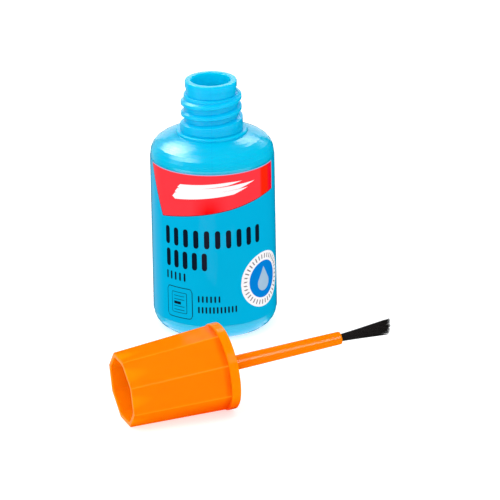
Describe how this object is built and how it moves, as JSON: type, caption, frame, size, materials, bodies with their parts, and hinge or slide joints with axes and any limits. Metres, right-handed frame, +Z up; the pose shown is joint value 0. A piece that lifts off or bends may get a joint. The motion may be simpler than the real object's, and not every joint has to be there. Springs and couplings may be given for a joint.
{
  "type": "correction fluid bottle",
  "caption": "Small round correction fluid bottle with a threaded open neck and a label wrap, and its faceted screw cap with a brush on a stem lying in front of it.",
  "frame": {"origin": "centre of the bottle's foot, on the floor that the bottle and its cap both rest on", "axes": "+Z up along the bottle's axis and out of its neck, -Y out of the front of the label, +X to the right of the label as it is seen from the front"},
  "size_m": [0.0674, 0.0869, 0.0628],
  "materials": {
    "bottle_plastic": "glossy light blue moulded plastic",
    "label_film": "glossy printed film in light blue with a red field",
    "cap_plastic": "semi-gloss orange moulded plastic",
    "stem_plastic": "semi-gloss orange moulded plastic",
    "bristle": "black nylon bristles",
    "staple_metal": "bright steel",
    "ball_steel": "polished steel"
  },
  "bodies": {
    "root": {"bottle": "bottle_plastic", "label": "label_film", "cap": "cap_plastic", "stem": "stem_plastic", "brush_tuft": "bristle", "tuft_anchor": "staple_metal", "mixing_ball": "ball_steel"}
  },
  "joints": []
}
